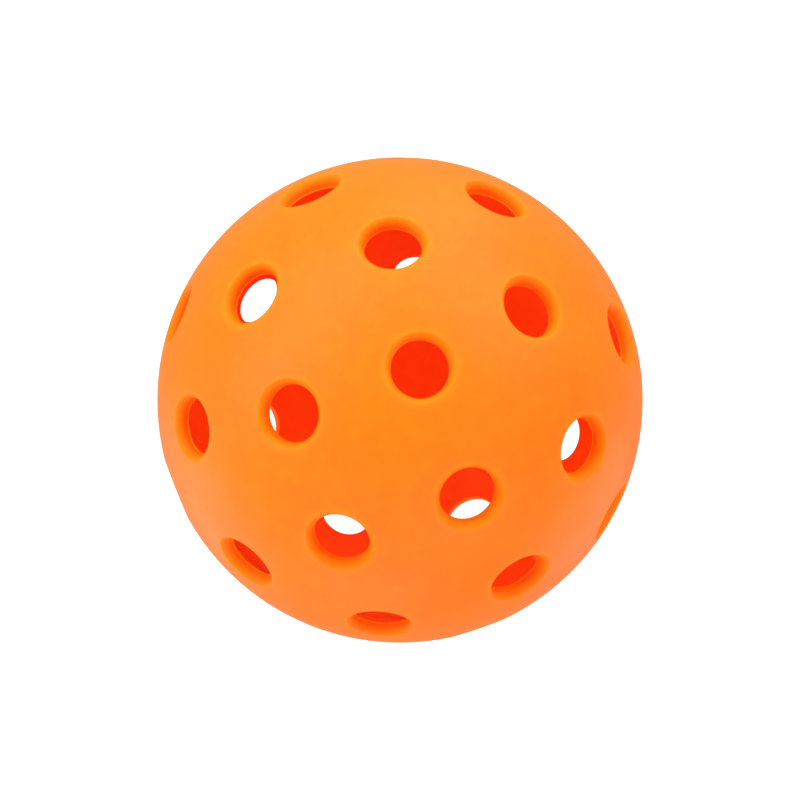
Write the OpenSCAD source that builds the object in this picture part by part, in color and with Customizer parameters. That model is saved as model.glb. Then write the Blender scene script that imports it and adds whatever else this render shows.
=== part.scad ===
// Hollow perforated ball, moulded as two half shells that are welded together along a seam.
// The origin is the ball's centre. The seam lies in the plane Z = 0 and +Z runs through the upper pole.
// Each half carries three rings of round holes around its pole. The lower half is the same moulding
// turned over and staggered by about half a step, so its holes fall between those of the upper half.

/* [Ball] */
// Outside diameter of the ball
ball_d = 74; // [72.9:0.1:75.4]
// Thickness of the shell
wall = 2.05; // [1.6:0.05:2.2]

/* [Holes] */
// Diameter of every hole
hole_d = 8.3; // [7:0.02:9]
// Radius that rounds the outside edge of every hole
lip_r = 0.95; // [0.4:0.05:1]
// Width of the bevel that breaks the inside edge of every hole
bevel = 0.15; // [0.05:0.01:0.3]
// Angle from the pole to the ring of holes nearest to it
near_ring_angle = 22.2; // [21:0.1:23]
// Angle from the pole to the middle ring of holes
middle_ring_angle = 50.3; // [48:0.1:52]
// Angle from the pole to the ring of holes next to the seam
seam_ring_angle = 76.5; // [75:0.1:77]
// Number of holes in the ring nearest to the pole
near_ring_count = 4; // [3:1:5]
// Number of holes in the middle ring
middle_ring_count = 8; // [6:1:9]
// Number of holes in the ring next to the seam
seam_ring_count = 8; // [6:1:10]
// Turn of the lower half about the pole axis
stagger = 23.3; // [0:0.1:45]

/* [Seam] */
// Height of the tongue on the upper half's rim
tongue_h = 0.9; // [0.5:0.1:1.2]
// Width of the tongue
tongue_w = 0.7; // [0.4:0.05:0.8]
// Clearance around the tongue in the lower half's groove
groove_gap = 0.05; // [0.02:0.01:0.1]
// Height of the weld bead above the inside of the shell
bead_h = 0.35; // [0.3:0.05:0.8]
// Width of the weld bead across the seam
bead_w = 2; // [1.4:0.1:3]

/* [Hidden] */
$fn = 96;
// sides of the circles that the thin bead's section is cut from
fine = 720;
// outside and inside radius of the shell, and the radius midway through it
outer_r = ball_d / 2;
inner_r = outer_r - wall;
middle_r = outer_r - wall / 2;
hole_r = hole_d / 2;
// cutting tools start and end this far outside the material
reach = 1;
// the lip's arc ends this far outside the shell, so that it meets the surface at a shallow angle and not as a tangent
lip_rise = 0.02;
// centre of the lip's arc, across and along the hole's axis
lip_x = hole_r + lip_r;
lip_centre_r = outer_r - lip_r + lip_rise;
lip_z = sqrt(lip_centre_r * lip_centre_r - lip_x * lip_x);
// end of the line that leads from the ball's centre through the lip's centre to outside the shell
lip_end = (outer_r + reach) / lip_centre_r;
// height at which the bevel meets the inside of the shell
bevel_z = sqrt(inner_r * inner_r - (hole_r + bevel) * (hole_r + bevel));
// radius of the weld bead's round back
bead_r = (bead_w * bead_w / 4 + bead_h * bead_h) / (2 * bead_h);

// half of the hollow ball above Z = 0, with no holes in it
module shell() {
    rotate_extrude() {
        difference() {
            intersection() {
                circle(r = outer_r);
                square(outer_r + reach);
            }
            circle(r = inner_r);
        }
    }
}

// half section of the space that one hole leaves: inside bevel, straight wall and rounded outside edge
module hole_section() {
    difference() {
        polygon([
            [0, bevel_z - reach],
            [hole_r + bevel + reach, bevel_z - reach],
            [hole_r, bevel_z + bevel],
            [hole_r, lip_z],
            [lip_x, lip_z],
            [lip_x * lip_end, lip_z * lip_end],
            [0, outer_r + reach]
        ]);
        translate([lip_x, lip_z]) circle(r = lip_r);
    }
}

// one ring of holes at an angle from the pole
module ring(angle, count, first) {
    for (i = [0 : count - 1]) {
        rotate([0, angle, first + i * 360 / count]) rotate_extrude() hole_section();
    }
}

// every hole of one half
module holes() {
    ring(near_ring_angle, near_ring_count, 0);
    ring(middle_ring_angle, middle_ring_count, 180 / middle_ring_count);
    ring(seam_ring_angle, seam_ring_count, 0);
}

// shell with its three rings of holes, standing on Z = 0
module perforated_half() {
    difference() {
        shell();
        holes();
    }
}

// square-edged ring in the middle of the wall, from Z = 0 downwards
module rim_ring(width, height) {
    rotate_extrude() translate([middle_r - width / 2, -height]) square([width, height]);
}

// half shell above the seam, with the tongue on its rim
module upper_half() {
    color("DarkOrange") {
        union() {
            perforated_half();
            rim_ring(tongue_w, tongue_h);
        }
    }
}

// half shell below the seam, with the groove that takes the tongue
module lower_half() {
    color("Orange") {
        difference() {
            rotate([180, 0, stagger]) perforated_half();
            rim_ring(tongue_w + 2 * groove_gap, tongue_h + groove_gap);
        }
    }
}

// ring of weld material that stands inside the shell along the seam
module weld_bead() {
    color("OrangeRed") {
        rotate_extrude() {
            intersection() {
                circle(r = inner_r, $fn = fine);
                translate([inner_r - bead_h + bead_r, 0]) circle(r = bead_r, $fn = fine);
            }
        }
    }
}

upper_half();
lower_half();
weld_bead();
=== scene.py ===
"""The looks of a hollow perforated plastic ball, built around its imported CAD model.

The ball is two moulded half shells welded together. Each half is one closed mesh, built here from a
smooth outside skin, a smooth inside skin, a rounded passage through the wall for every hole, and a rim at
the seam. The weld bead is a double roll of melted plastic on the inside of the seam.
"""

import math

import bpy
import numpy as np
from mathutils import Matrix, Vector
from mathutils.geometry import delaunay_2d_cdt


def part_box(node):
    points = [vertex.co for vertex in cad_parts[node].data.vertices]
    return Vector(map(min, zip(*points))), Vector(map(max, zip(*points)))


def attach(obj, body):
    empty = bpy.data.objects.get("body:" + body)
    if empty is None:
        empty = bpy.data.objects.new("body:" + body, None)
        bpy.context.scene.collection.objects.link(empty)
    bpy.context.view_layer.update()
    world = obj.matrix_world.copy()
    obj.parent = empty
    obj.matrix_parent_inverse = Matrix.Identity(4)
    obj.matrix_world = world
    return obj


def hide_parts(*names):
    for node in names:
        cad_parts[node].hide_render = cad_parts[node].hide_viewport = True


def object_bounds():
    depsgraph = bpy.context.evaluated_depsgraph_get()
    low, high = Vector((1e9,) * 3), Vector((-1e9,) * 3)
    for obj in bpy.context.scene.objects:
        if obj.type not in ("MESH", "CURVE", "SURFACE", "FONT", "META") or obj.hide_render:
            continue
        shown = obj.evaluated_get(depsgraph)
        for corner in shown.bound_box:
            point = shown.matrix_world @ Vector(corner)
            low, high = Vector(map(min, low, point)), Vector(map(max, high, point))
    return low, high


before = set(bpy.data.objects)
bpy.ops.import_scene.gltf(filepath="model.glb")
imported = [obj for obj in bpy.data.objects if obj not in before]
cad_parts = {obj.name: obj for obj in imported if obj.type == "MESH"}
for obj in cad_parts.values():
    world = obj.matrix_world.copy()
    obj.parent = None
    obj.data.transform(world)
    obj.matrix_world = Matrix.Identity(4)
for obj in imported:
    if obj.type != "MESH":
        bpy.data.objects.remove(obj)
cad_low, cad_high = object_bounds()

MM = 0.001
POLE = np.array([0.0, 0.0, 1.0])
# An axis that points up or down by more than this share of its length counts as the pole's own.
AT_POLE = 0.999


def distances(node):
    """How far each corner of a CAD node is from the ball's centre."""
    corners = np.array([v.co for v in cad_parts[node].data.vertices])
    return np.linalg.norm(corners, axis=1)


# The shell, as the CAD model has it.
OUTER_R = float(distances("upper_half").max())
INNER_R = float(distances("upper_half").min())
MIDDLE_R = (OUTER_R + INNER_R) / 2

# The holes: each ring's angle from the pole, its number of holes and the turn of its first hole.
HOLE_R = 4.15 * MM
RINGS = ((22.2, 4, 0.0), (50.3, 8, 22.5), (76.5, 8, 0.0))
STAGGER = 23.3
# The outside edge of a hole as arcs from the skin inwards: radius, and the slope in degrees at its end.
LIP_ARCS = ((0.45 * MM, 24), (1.25 * MM, 90))
LIP_STEPS = 6
LIP_ROUNDS = 8
# Where the straight wall of a hole has its loops, as shares of its length.
WALL_SHARES = (0.35, 0.7, 1.0)
INNER_LIP_R = 0.15 * MM
INNER_LIP_STEPS = 7
# The thread of flash that the mould's pins leave around the inside edge stands this far into the hole,
# and starts this far above it on the wall.
FLASH = 0.08 * MM
FLASH_FOOT = 0.02 * MM
# A hole's edge is lightened wholly up to the first slope in degrees and not at all from the second, as
# rubbed and as a painted highlight ring around its outer edge.
RUBBED_AND_HIGHLIGHT_SLOPES = (24, 48)

# The rim of each half.
RIM_EDGE_R = 0.1 * MM
RIM_EDGE_STEPS = 4
RIM_RUBBED = 0.7
TONGUE_H = -float(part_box("upper_half")[0].z)
TONGUE_W = 0.7 * MM
GROOVE_GAP = 0.05 * MM

# The weld bead: two rolls side by side, one from each half, that meet in a crease on the seam.
BEAD_H = INNER_R - float(distances("weld_bead").min())
BEAD_HALF_W = float(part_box("weld_bead")[1].z)
BEAD_ROOT = 0.1 * MM
BEAD_ROWS = 21
# The crease between the rolls: its height as a share of theirs, and its width as a share of one roll's.
CREASE_HEIGHT = 0.55
CREASE_WIDTH = 0.25
# How unevenly the bead set: waves around the seam, their height as a share of the bead's, and their start.
BEAD_WAVES = ((5, 0.05, 1.0), (13, 0.04, 2.0), (31, 0.03, 0.0))

# How finely the meshes are drawn: corners around a hole and the seam, and the step between the others.
AROUND_HOLE = 64
AROUND_SEAM = 216
OUTER_STEP = 1.15 * MM
INNER_STEP = 1.4 * MM
# The share of a step that is kept free between those others and the loops around the holes and the seam.
CLEARANCE = 0.8
# Corners closer than this in the flat net, which is 1 in radius, would merge.
NET_MERGE = 1e-9
# Loops from a hole's close corners to the skin's wide ones: distance, count, turn and lightening on the
# outside, as wear and as a painted highlight ring.
GUARDS = ((0.3 * MM, 64, 0.5, 0.85), (0.75 * MM, 56, 0.0, 0.0), (1.5 * MM, 36, 0.5, 0.0))

# The plastic: its colours, and how much its outside skins and the walls of its holes shine.
DEEP_ORANGE = (0.97, 0.148, 0.001)
BODY_ORANGE = (0.985, 0.167, 0.002)
FLECK_ORANGE = (1.0, 0.192, 0.004)
# The lighter orange of rubbed hole edges, which also paints a highlight ring around each hole's outer
# edge.
WORN_AND_HIGHLIGHT_ORANGE = (1.0, 0.215, 0.002)
WELD_DEEP = (0.94, 0.12, 0.001)
WELD_LIGHT = (0.98, 0.15, 0.002)
PLASTIC_IOR = 1.5
SKIN_GLOSS = 0.15
HOLE_GLOSS = 0.05
# Mottles: features per metre, detail and roughness of the noise, the range read and the range it becomes.
CLOUDS = (70, 4.0, 0.6, 0.3, 0.7, 0.0, 1.0)
FLECKS = (420, 4.0, 0.65, 0.4, 0.7, 0.0, 0.35)
# Patches where the lightening of the hole edges shows, both rubbing and painted highlight.
WORN_AND_HIGHLIGHT_PATCHES = (260, 4.0, 0.7, 0.4, 0.65, 0.2, 0.5)
SATIN = (110, 4.0, 0.6, 0.3, 0.7, 0.4, 0.52)
WELD_CLOUDS = (300, 3.0, 0.6, 0.3, 0.7, 0.0, 1.0)
WELD_SATIN = (700, 3.0, 0.6, 0.3, 0.7, 0.28, 0.45)
# How much rougher than the rest a wholly worn place is.
WORN_ROUGHER = 0.25
# Bumps: features per metre, detail and roughness of the noise, and depth.
SWELL = (95, 3.0, 0.55, 0.09 * MM)
GRAIN = (2600, 2.0, 0.5, 0.012 * MM)
WELD_RIPPLES = (900, 3.0, 0.6, 0.05 * MM)

# The camera: its place and roll in degrees, its distance in ball radii, and its lens and sensor in mm.
CAMERA_AZIMUTH = 95.01
CAMERA_ELEVATION = 75.93
CAMERA_ROLL = 160.1
CAMERA_DISTANCE = 9.646
CAMERA_LENS = 104.82
CAMERA_SENSOR = 36.0
CAMERA_CLIP = (0.01, 50.0)

# The studio: a floor that only the camera sees, an even light from all around and soft boxes. Metres.
FLOOR_GLOW = 0.85
FLOOR_GREY = 0.4
FLOOR_ROUGHNESS = 0.8
FLOOR_SIZE = 6.0
WORLD_LIGHT = 0.47
LIGHT_BOUNCES = 24
BOX_DISTANCE = 0.9
BOX_SIZE = 0.6
# Soft boxes: name, degrees from the line of sight, turn from the picture's right to its top, and watts.
SOFT_BOXES = (
    ("right_box", 60, 30, 2.5),
    ("upper_right_box", 60, 60, 3.6),
    ("upper_left_box", 60, 120, 4.7),
    ("left_box", 60, 170, 5.0),
    ("lower_left_box", 60, 240, 1.3),
    ("low_box", 60, 300, 3.0),
    ("top_back_box", 90, 75, 2.7),
    ("low_back_box", 90, 260, 2.4),
    ("left_rim_box", 118, 208, 2.4),
    ("right_rim_box", 118, 330, 1.7),
)


# ---------------------------------------------------------------- mesh building


class Draft:
    """Corners, normals and faces of one piece while it is put together, in metres."""

    def __init__(self):
        self.corners = np.zeros((0, 3))
        self.normals = np.zeros((0, 3))
        self.wear_and_highlight = np.zeros(0)
        self.faces = []
        self.flat = []
        self.finish = []

    def add(self, corners, normals, wear_and_highlight=0.0):
        """Adds corners with their normals and how much they are lightened, as rubbed and as a painted
        highlight, and returns their numbers.
        """
        first = len(self.corners)
        self.corners = np.vstack([self.corners, corners])
        self.normals = np.vstack([self.normals, normals])
        self.wear_and_highlight = np.append(self.wear_and_highlight, np.full(len(corners), wear_and_highlight))
        return np.arange(first, len(self.corners))

    def strip(self, a, b, flat=False, finish=0):
        """Joins two closed loops of equal length with four-cornered faces of one finish."""
        for k in range(len(a)):
            n = (k + 1) % len(a)
            self.faces.append((a[k], a[n], b[n], b[k]))
            self.flat.append(flat)
            self.finish.append(finish)

    def triangles(self, faces):
        """Adds smooth faces of the first finish."""
        self.faces.extend(faces)
        self.flat.extend([False] * len(faces))
        self.finish.extend([0] * len(faces))

    def turned(self, turn):
        """Turns the whole draft about the ball's centre."""
        turn = np.array(turn)
        self.corners = self.corners @ turn.T
        self.normals = self.normals @ turn.T
        return self

    def piece(self, name, node, slot, finishes):
        """Makes the Blender object that stands for a CAD node, with true normals and its finishes."""
        mesh = bpy.data.meshes.new(name)
        mesh.from_pydata(self.corners.tolist(), [], [tuple(map(int, f)) for f in self.faces])
        mesh.polygons.foreach_set("use_smooth", [not f for f in self.flat])
        for material in finishes:
            mesh.materials.append(material)
        mesh.polygons.foreach_set("material_index", self.finish)
        # How much each corner is lightened, as rubbed and as a painted highlight ring around the holes.
        wear_and_highlight = mesh.attributes.new("wear_and_highlight", "FLOAT", "POINT")
        wear_and_highlight.data.foreach_set("value", self.wear_and_highlight.astype(np.float32))
        mesh.normals_split_custom_set_from_vertices(self.normals.tolist())
        made = bpy.data.objects.new(name, mesh)
        bpy.context.scene.collection.objects.link(made)
        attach(made, "root")
        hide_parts(node)


def direction(polar, around):
    """The unit vector at an angle from the pole and a turn around it, in degrees."""
    p, a = math.radians(polar), math.radians(around)
    return np.array([math.sin(p) * math.cos(a), math.sin(p) * math.sin(a), math.cos(p)])


def hole_axes():
    """The direction of every hole of a half that lies on its rim, pole up."""
    return [
        direction(polar, first + k * 360 / count)
        for polar, count, first in RINGS
        for k in range(count)
    ]


def across(axis, count, start=0.0):
    """Unit vectors square to an axis, evenly spaced around it, anticlockwise as seen from its tip."""
    side = np.cross(axis, POLE) if abs(axis[2]) < AT_POLE else np.array([1.0, 0.0, 0.0])
    side /= np.linalg.norm(side)
    other = np.cross(axis, side)
    turn = 2 * np.pi * (np.arange(count) + start) / count
    return np.outer(np.cos(turn), side) + np.outer(np.sin(turn), other)


def circle(axis, angle, count, start=0.0):
    """Points of the unit sphere at an angle in radians from an axis."""
    return math.cos(angle) * axis + math.sin(angle) * across(axis, count, start)


def arc(x, z, radius, first, last, steps):
    """Rows of a profile along an arc: place across, place along, and the angle of its normal."""
    return [
        (x + radius * math.cos(t), z + radius * math.sin(t), t)
        for t in np.linspace(first, last, steps + 1)
    ]


def lip_profile():
    """The rounded outside edge: arcs that leave the skin smoothly and end along the wall.

    Where they leave it depends on their width, and their width a little on where: a few rounds settle it.
    """
    lasts = [math.radians(90 + slope) for _, slope in LIP_ARCS]
    start = math.pi / 2
    for _ in range(LIP_ROUNDS):
        firsts = [start, *lasts[:-1]]
        turns = [math.cos(first) - math.cos(last) for first, last in zip(firsts, lasts)]
        width = sum(radius * turn for (radius, _), turn in zip(LIP_ARCS, turns))
        start = math.acos((HOLE_R + width) / OUTER_R)
    rows = [(OUTER_R * math.cos(start), OUTER_R * math.sin(start), start)]
    for (radius, _), first, last in zip(LIP_ARCS, firsts, lasts):
        x, z, _ = rows.pop()
        centre_x, centre_z = x - radius * math.cos(first), z - radius * math.sin(first)
        rows += arc(centre_x, centre_z, radius, first, last, LIP_STEPS)
    return rows


def passage_profile():
    """A hole's wall from the outside skin to the inside skin, beside its axis."""
    lip = lip_profile()
    inner_x = HOLE_R + INNER_LIP_R - FLASH
    inner_z = math.sqrt((INNER_R + INNER_LIP_R) ** 2 - inner_x**2)
    first = math.pi - math.acos(1 - FLASH / INNER_LIP_R)
    last = math.pi + math.atan2(inner_z, inner_x)
    flash = arc(inner_x, inner_z, INNER_LIP_R, first, last, INNER_LIP_STEPS)
    top, foot = lip[-1][1], flash[0][1] + FLASH_FOOT
    wall = [(HOLE_R, top + share * (foot - top), math.pi) for share in WALL_SHARES]
    return lip + wall + flash


def rim_profile(half_width, depth):
    """The rim from the outside to the inside skin, with a square step of that half width and depth."""
    edge = RIM_EDGE_R
    outer_x = math.sqrt((OUTER_R - edge) ** 2 - edge**2)
    inner_x = math.sqrt((INNER_R + edge) ** 2 - edge**2)
    outer_turn, inner_turn = math.atan2(edge, outer_x), math.atan2(edge, inner_x) - math.pi
    outer_edge = arc(outer_x, edge, edge, outer_turn, -math.pi / 2, RIM_EDGE_STEPS)
    inner_edge = arc(inner_x, edge, edge, -math.pi / 2, inner_turn, RIM_EDGE_STEPS)
    step = [
        (MIDDLE_R + half_width, 0.0, None),
        (MIDDLE_R + half_width, depth, None),
        (MIDDLE_R - half_width, depth, None),
        (MIDDLE_R - half_width, 0.0, None),
    ]
    return outer_edge + step + inner_edge


def passage(draft, axis, profile):
    """The rounded passage of one hole through the wall. Returns its outermost and innermost loops.

    The lip's first arc shines like the skin, and the rest of the passage has the second finish.
    """
    spokes = across(axis, AROUND_HOLE)
    full, none = RUBBED_AND_HIGHLIGHT_SLOPES
    loops = []
    for x, z, t in profile:
        slope = abs(math.degrees(t) - 90)
        # How much the edge is lightened, as rubbed and as a painted highlight ring.
        rubbed_and_highlit = min(max((none - slope) / (none - full), 0.0), 1.0)
        normal = math.cos(t) * spokes + math.sin(t) * axis
        loops.append(draft.add(x * spokes + z * axis, normal, rubbed_and_highlit))
    for k, (a, b) in enumerate(zip(loops, loops[1:])):
        draft.strip(a, b, finish=int(k >= LIP_STEPS))
    return loops[0], loops[-1]


def rim(draft, profile):
    """The rim at the seam. Returns its outermost and innermost loops."""
    spokes = across(POLE, AROUND_SEAM)
    loops = []
    for x, z, t in profile:
        angle = -math.pi / 2 if t is None else t
        normal = math.cos(angle) * spokes + math.sin(angle) * POLE
        loops.append(draft.add(x * spokes + z * POLE, normal, RIM_RUBBED))
    for a, b, row, next_row in zip(loops, loops[1:], profile, profile[1:]):
        draft.strip(b, a, flat=row[2] is None or next_row[2] is None)
    return loops[0], loops[-1]


def spread(step):
    """Unit vectors spread evenly over the upper half sphere, a step apart as a share of its radius."""
    count = int(2 * math.pi / (step * step * math.sqrt(3) / 2))
    height = 1 - (np.arange(count) + 0.5) / count
    turn = np.arange(count) * math.pi * (3 - math.sqrt(5))
    level = np.sqrt(1 - height**2)
    return np.stack([level * np.cos(turn), level * np.sin(turn), height], axis=1)


def skin(draft, radius, axes, edges, seam, step, outside):
    """Covers a half sphere between the holes' edge loops and the seam loop with even triangles.

    The corners are laid flat by a stereographic projection, which keeps circles round, so that a Delaunay
    net of the flat corners is also the sphere's own.
    """
    side = 1 if outside else -1
    loops = [*edges, seam]
    numbers = [np.concatenate(loops)]
    new, wear_and_highlight = [], []
    for axis, edge in zip(axes, edges):
        opening = math.acos(draft.corners[edge[0]] @ axis / radius)
        for out, count, start, rubbed_and_highlit in GUARDS:
            new.append(circle(axis, opening + out / radius, count, start))
            # The first guard loop is lightened too, as rubbed and as part of the painted highlight ring.
            wear_and_highlight += [rubbed_and_highlit if outside else 0.0] * count
    seam_guard = math.pi / 2 - step / radius
    new.append(circle(POLE, seam_guard, AROUND_SEAM, 0.5))
    free = CLEARANCE * step / radius
    reach = math.cos(opening + GUARDS[-1][0] / radius + free)
    fill = spread(step / radius)
    off_holes = (fill @ np.array(axes).T < reach).all(axis=1)
    off_seam = fill[:, 2] > math.cos(seam_guard - free)
    new = np.vstack([*new, fill[off_holes & off_seam]])
    wear_and_highlight += [0.0] * (len(new) - len(wear_and_highlight))
    numbers.append(draft.add(new * radius, side * new, wear_and_highlight))
    numbers = np.concatenate(numbers)

    unit = draft.corners[numbers] / radius
    flat = unit[:, :2] / (1 + unit[:, 2:])
    lines, first = [], 0
    for loop in loops:
        lines += [(first + k, first + (k + 1) % len(loop)) for k in range(len(loop))]
        first += len(loop)
    found = delaunay_2d_cdt([Vector(p) for p in flat], lines, [], 0, NET_MERGE)
    origin = np.array([o[0] for o in found[3]])
    faces = numbers[origin[np.array(found[2])]]

    member = np.full(len(draft.corners), -1)
    for k, loop in enumerate(loops):
        member[loop] = k
    owner = member[faces]
    shut = (owner[:, 0] >= 0) & (owner[:, 0] == owner[:, 1]) & (owner[:, 1] == owner[:, 2])
    faces = faces[~shut]
    a, b, c = (draft.corners[faces[:, k]] for k in range(3))
    inward = np.einsum("ij,ij->i", np.cross(b - a, c - a), a) * side < 0
    faces[inward] = faces[inward][:, ::-1]
    draft.triangles([tuple(f) for f in faces])


def half_shell(step_half_width, step_depth):
    """One moulded half, lying on its rim with its pole up."""
    draft = Draft()
    axes = hole_axes()
    profile = passage_profile()
    edges = [passage(draft, axis, profile) for axis in axes]
    seam = rim(draft, rim_profile(step_half_width, step_depth))
    skin(draft, OUTER_R, axes, [outer for outer, _ in edges], seam[0], OUTER_STEP, outside=True)
    skin(draft, INNER_R, axes, [inner for _, inner in edges], seam[1], INNER_STEP, outside=False)
    return draft


def weld_roll():
    """The double roll of plastic along the inside of the seam, a little uneven as melted plastic sets."""
    draft = Draft()
    count = 2 * AROUND_SEAM
    turn = 2 * math.pi * np.arange(count) / count
    uneven = 1 + sum(share * np.sin(waves * turn + start) for waves, share, start in BEAD_WAVES)
    uneven = uneven / uneven.max()
    spokes = across(POLE, count)
    rows = []
    for t in np.sin(np.linspace(-math.pi / 2, math.pi / 2, BEAD_ROWS)):
        roll = math.sqrt(max(0.0, 1 - (2 * abs(t) - 1) ** 2))
        crease = CREASE_HEIGHT * max(0.0, 1 - abs(t) / CREASE_WIDTH)
        rows.append((t * BEAD_HALF_W, max(roll, crease)))
    loops = []
    for z, height in rows:
        wall = math.sqrt(INNER_R**2 - z**2)
        x = wall - height * BEAD_H * uneven
        corners = x[:, None] * spokes + z * POLE
        loops.append(draft.add(corners, -spokes))
    root = INNER_R + BEAD_ROOT
    for z in (BEAD_HALF_W, -BEAD_HALF_W):
        loops.append(draft.add(root * spokes + z * POLE, spokes))
    for a, b in zip(loops, loops[1:] + loops[:1]):
        draft.strip(b, a)
    return draft


# ---------------------------------------------------------------- materials


def shader(name):
    """A new material, with its node tree and its one Principled shader."""
    made = bpy.data.materials.new(name)
    made.use_nodes = True
    tree = made.node_tree
    return made, tree, tree.nodes["Principled BSDF"]


def noise(tree, place, scale, detail, rough):
    """A noise texture in object space; scale is features per metre."""
    node = tree.nodes.new("ShaderNodeTexNoise")
    node.inputs["Scale"].default_value = scale
    node.inputs["Detail"].default_value = detail
    node.inputs["Roughness"].default_value = rough
    tree.links.new(place, node.inputs["Vector"])
    return node.outputs["Fac"]


def mottle(tree, place, scale, detail, rough, low, high, new_low, new_high):
    """A noise texture whose values are carried from one range to another."""
    node = tree.nodes.new("ShaderNodeMapRange")
    tree.links.new(noise(tree, place, scale, detail, rough), node.inputs["Value"])
    for name, number in zip(("From Min", "From Max", "To Min", "To Max"), (low, high, new_low, new_high)):
        node.inputs[name].default_value = number
    return node.outputs["Result"]


def mixed(tree, factor, a, b):
    """A mix of two colours, each a colour or a socket."""
    node = tree.nodes.new("ShaderNodeMix")
    node.data_type = "RGBA"
    tree.links.new(factor, node.inputs["Factor"])
    for name, colour in (("A", a), ("B", b)):
        socket = next(s for s in node.inputs if s.name == name and s.type == "RGBA")
        if isinstance(colour, tuple):
            socket.default_value = (*colour, 1.0)
        else:
            tree.links.new(colour, socket)
    return next(s for s in node.outputs if s.type == "RGBA")


def maths(tree, kind, a, b):
    """A sum, product or other step on a value and a number or a second value."""
    node = tree.nodes.new("ShaderNodeMath")
    node.operation = kind
    for socket, value in zip(node.inputs, (a, b)):
        if isinstance(value, (int, float)):
            socket.default_value = value
        else:
            tree.links.new(value, socket)
    return node.outputs["Value"]


def bumped(tree, place, scale, detail, rough, depth, below=None):
    """A bump of a noise texture, depth metres deep at most, over any bump below it."""
    node = tree.nodes.new("ShaderNodeBump")
    node.inputs["Strength"].default_value = 1.0
    node.inputs["Distance"].default_value = depth
    tree.links.new(noise(tree, place, scale, detail, rough), node.inputs["Height"])
    if below is not None:
        tree.links.new(below, node.inputs["Normal"])
    return node.outputs["Normal"]


def moulded_plastic(name, gloss):
    """Bright orange moulded polyethylene: satin, faintly clouded, fine-grained, with hole edges lightened
    as rubbed and as a painted highlight ring.
    """
    made, tree, plastic = shader(name)
    place = tree.nodes.new("ShaderNodeTexCoord").outputs["Object"]
    rubbed_and_highlit = tree.nodes.new("ShaderNodeAttribute")
    rubbed_and_highlit.attribute_name = "wear_and_highlight"

    body = mixed(tree, mottle(tree, place, *CLOUDS), DEEP_ORANGE, BODY_ORANGE)
    body = mixed(tree, mottle(tree, place, *FLECKS), body, FLECK_ORANGE)
    # Lighter where the hole edges are rubbed, which also paints a highlight ring around each hole.
    worn_and_highlit = maths(tree, "MULTIPLY", rubbed_and_highlit.outputs["Fac"], mottle(tree, place, *WORN_AND_HIGHLIGHT_PATCHES))
    tree.links.new(mixed(tree, worn_and_highlit, body, WORN_AND_HIGHLIGHT_ORANGE), plastic.inputs["Base Color"])

    rougher = maths(tree, "MULTIPLY", worn_and_highlit, WORN_ROUGHER)
    roughness = maths(tree, "ADD", mottle(tree, place, *SATIN), rougher)
    tree.links.new(roughness, plastic.inputs["Roughness"])

    swell = bumped(tree, place, *SWELL)
    tree.links.new(bumped(tree, place, *GRAIN, swell), plastic.inputs["Normal"])
    plastic.inputs["IOR"].default_value = PLASTIC_IOR
    plastic.inputs["Specular IOR Level"].default_value = gloss
    return made


def weld_plastic():
    """The same plastic where it melted and set again: a little deeper in colour, glossier and rippled."""
    made, tree, plastic = shader("melted_weld")
    place = tree.nodes.new("ShaderNodeTexCoord").outputs["Object"]
    colour = mixed(tree, mottle(tree, place, *WELD_CLOUDS), WELD_DEEP, WELD_LIGHT)
    tree.links.new(colour, plastic.inputs["Base Color"])
    tree.links.new(mottle(tree, place, *WELD_SATIN), plastic.inputs["Roughness"])
    tree.links.new(bumped(tree, place, *WELD_RIPPLES), plastic.inputs["Normal"])
    plastic.inputs["IOR"].default_value = PLASTIC_IOR
    return made


def pale_floor():
    """A plain white light-table surface."""
    made, tree, surface = shader("pale_floor")
    surface.inputs["Base Color"].default_value = (FLOOR_GREY, FLOOR_GREY, FLOOR_GREY, 1.0)
    surface.inputs["Roughness"].default_value = FLOOR_ROUGHNESS
    surface.inputs["Emission Color"].default_value = (1.0, 1.0, 1.0, 1.0)
    surface.inputs["Emission Strength"].default_value = FLOOR_GLOW
    return made


# ---------------------------------------------------------------- studio and camera


def camera_turn():
    """The camera's axes as columns: right, up and backwards."""
    a, e = math.radians(CAMERA_AZIMUTH), math.radians(CAMERA_ELEVATION)
    back = Vector((math.sin(a) * math.cos(e), -math.cos(a) * math.cos(e), math.sin(e)))
    level = back.to_track_quat("Z", "Y").to_matrix()
    return level @ Matrix.Rotation(-math.radians(CAMERA_ROLL), 3, "Z")


def make_camera():
    """The camera, looking at the ball's centre as the photographer's did."""
    data = bpy.data.cameras.new("camera")
    data.sensor_width = CAMERA_SENSOR
    data.lens = CAMERA_LENS
    data.clip_start, data.clip_end = CAMERA_CLIP
    camera = bpy.data.objects.new("camera", data)
    turn = camera_turn()
    camera.matrix_world = Matrix.Translation(turn.col[2] * CAMERA_DISTANCE * OUTER_R) @ turn.to_4x4()
    bpy.context.scene.collection.objects.link(camera)
    bpy.context.scene.camera = camera


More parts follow.
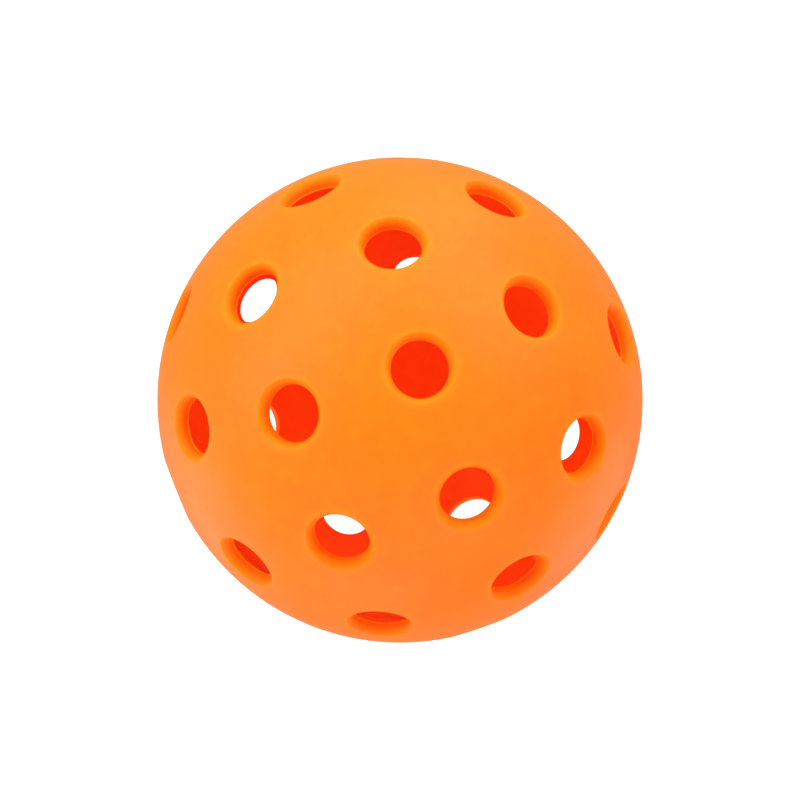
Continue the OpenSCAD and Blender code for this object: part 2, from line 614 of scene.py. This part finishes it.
def make_soft_box(name, angle, turn, watts):
    """A square light that faces the ball, placed around the camera's line of sight."""
    data = bpy.data.lights.new(name, "AREA")
    data.shape, data.size, data.energy = "SQUARE", BOX_SIZE, watts
    light = bpy.data.objects.new(name, data)
    spot = camera_turn() @ Vector(direction(angle, turn)) * BOX_DISTANCE
    light.matrix_world = Matrix.Translation(spot) @ spot.to_track_quat("Z", "Y").to_matrix().to_4x4()
    bpy.context.scene.collection.objects.link(light)


def make_floor():
    """A floor under the ball that only the camera sees, so that it neither shades nor tints the ball."""
    data = bpy.data.meshes.new("floor")
    half = FLOOR_SIZE / 2
    level = cad_low.z
    corners = [(x * half, y * half, level) for x, y in ((-1, -1), (1, -1), (1, 1), (-1, 1))]
    data.from_pydata(corners, [], [(0, 1, 2, 3)])
    data.materials.append(pale_floor())
    floor = bpy.data.objects.new("floor", data)
    floor.visible_diffuse = False
    floor.visible_glossy = False
    floor.visible_shadow = False
    bpy.context.scene.collection.objects.link(floor)


def make_studio():
    """The even light, the soft boxes and the floor."""
    scene = bpy.context.scene
    scene.view_settings.view_transform = "Standard"
    scene.cycles.max_bounces = LIGHT_BOUNCES
    scene.cycles.diffuse_bounces = LIGHT_BOUNCES
    world = bpy.data.worlds.new("studio")
    world.use_nodes = True
    world.node_tree.nodes["Background"].inputs["Color"].default_value = (1.0, 1.0, 1.0, 1.0)
    world.node_tree.nodes["Background"].inputs["Strength"].default_value = WORLD_LIGHT
    scene.world = world
    for box in SOFT_BOXES:
        make_soft_box(*box)
    make_floor()


# ---------------------------------------------------------------- the ball


def make_ball():
    """The three pieces: the halves are alike but for the step on their rims, and one is turned over."""
    shell = moulded_plastic("orange_shell", SKIN_GLOSS), moulded_plastic("orange_hole", HOLE_GLOSS)
    upper = half_shell(TONGUE_W / 2, -TONGUE_H)
    lower = half_shell(TONGUE_W / 2 + GROOVE_GAP, TONGUE_H + GROOVE_GAP)
    over = Matrix.Rotation(math.radians(STAGGER), 3, "Z") @ Matrix.Rotation(math.pi, 3, "X")
    upper.piece("upper_shell", "upper_half", "shell", shell)
    lower.turned(over).piece("lower_shell", "lower_half", "shell", shell)
    weld_roll().piece("weld_roll", "weld_bead", "weld", [weld_plastic()])


make_camera()
make_studio()
make_ball()
